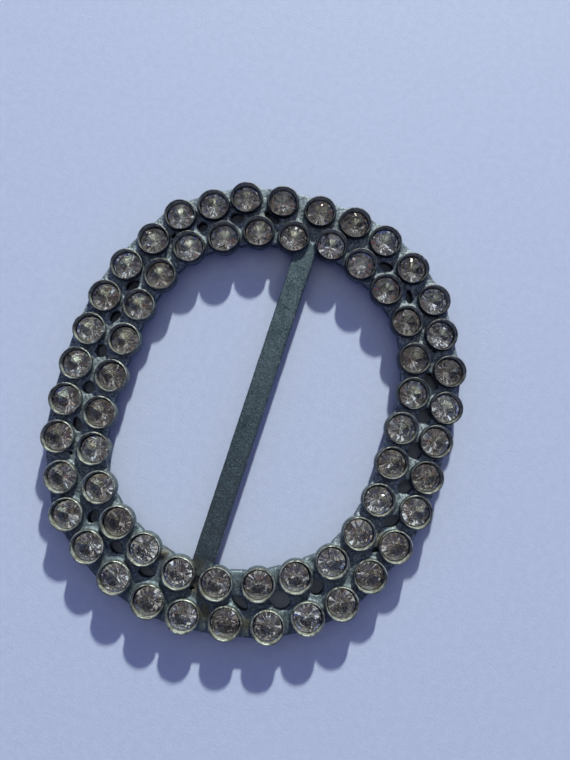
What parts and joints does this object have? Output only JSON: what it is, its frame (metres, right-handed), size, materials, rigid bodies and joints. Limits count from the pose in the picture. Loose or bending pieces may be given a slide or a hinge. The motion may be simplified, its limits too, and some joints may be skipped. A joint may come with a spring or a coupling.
{
  "type": "rhinestone belt buckle",
  "caption": "Oval ring buckle with rows of round cut stones in cast cups on a pierced web, and a flat bar across the middle that a strap runs over.",
  "frame": {"origin": "middle of the ring on the plane that the cups' feet rest on", "axes": "+Z out of the stones' faces, Y along the bar, X across the bar"},
  "size_m": [0.0664, 0.076, 0.0038],
  "materials": {
    "cast_metal": "dark tarnished pot metal, matte on the web and bar, worn bright on the rims",
    "crystal": "polished cut crystal over a tarnished foil back"
  },
  "bodies": {
    "root": {"cast_frame": "cast_metal", "outer_stones": "crystal", "inner_stones": "crystal"}
  },
  "joints": []
}
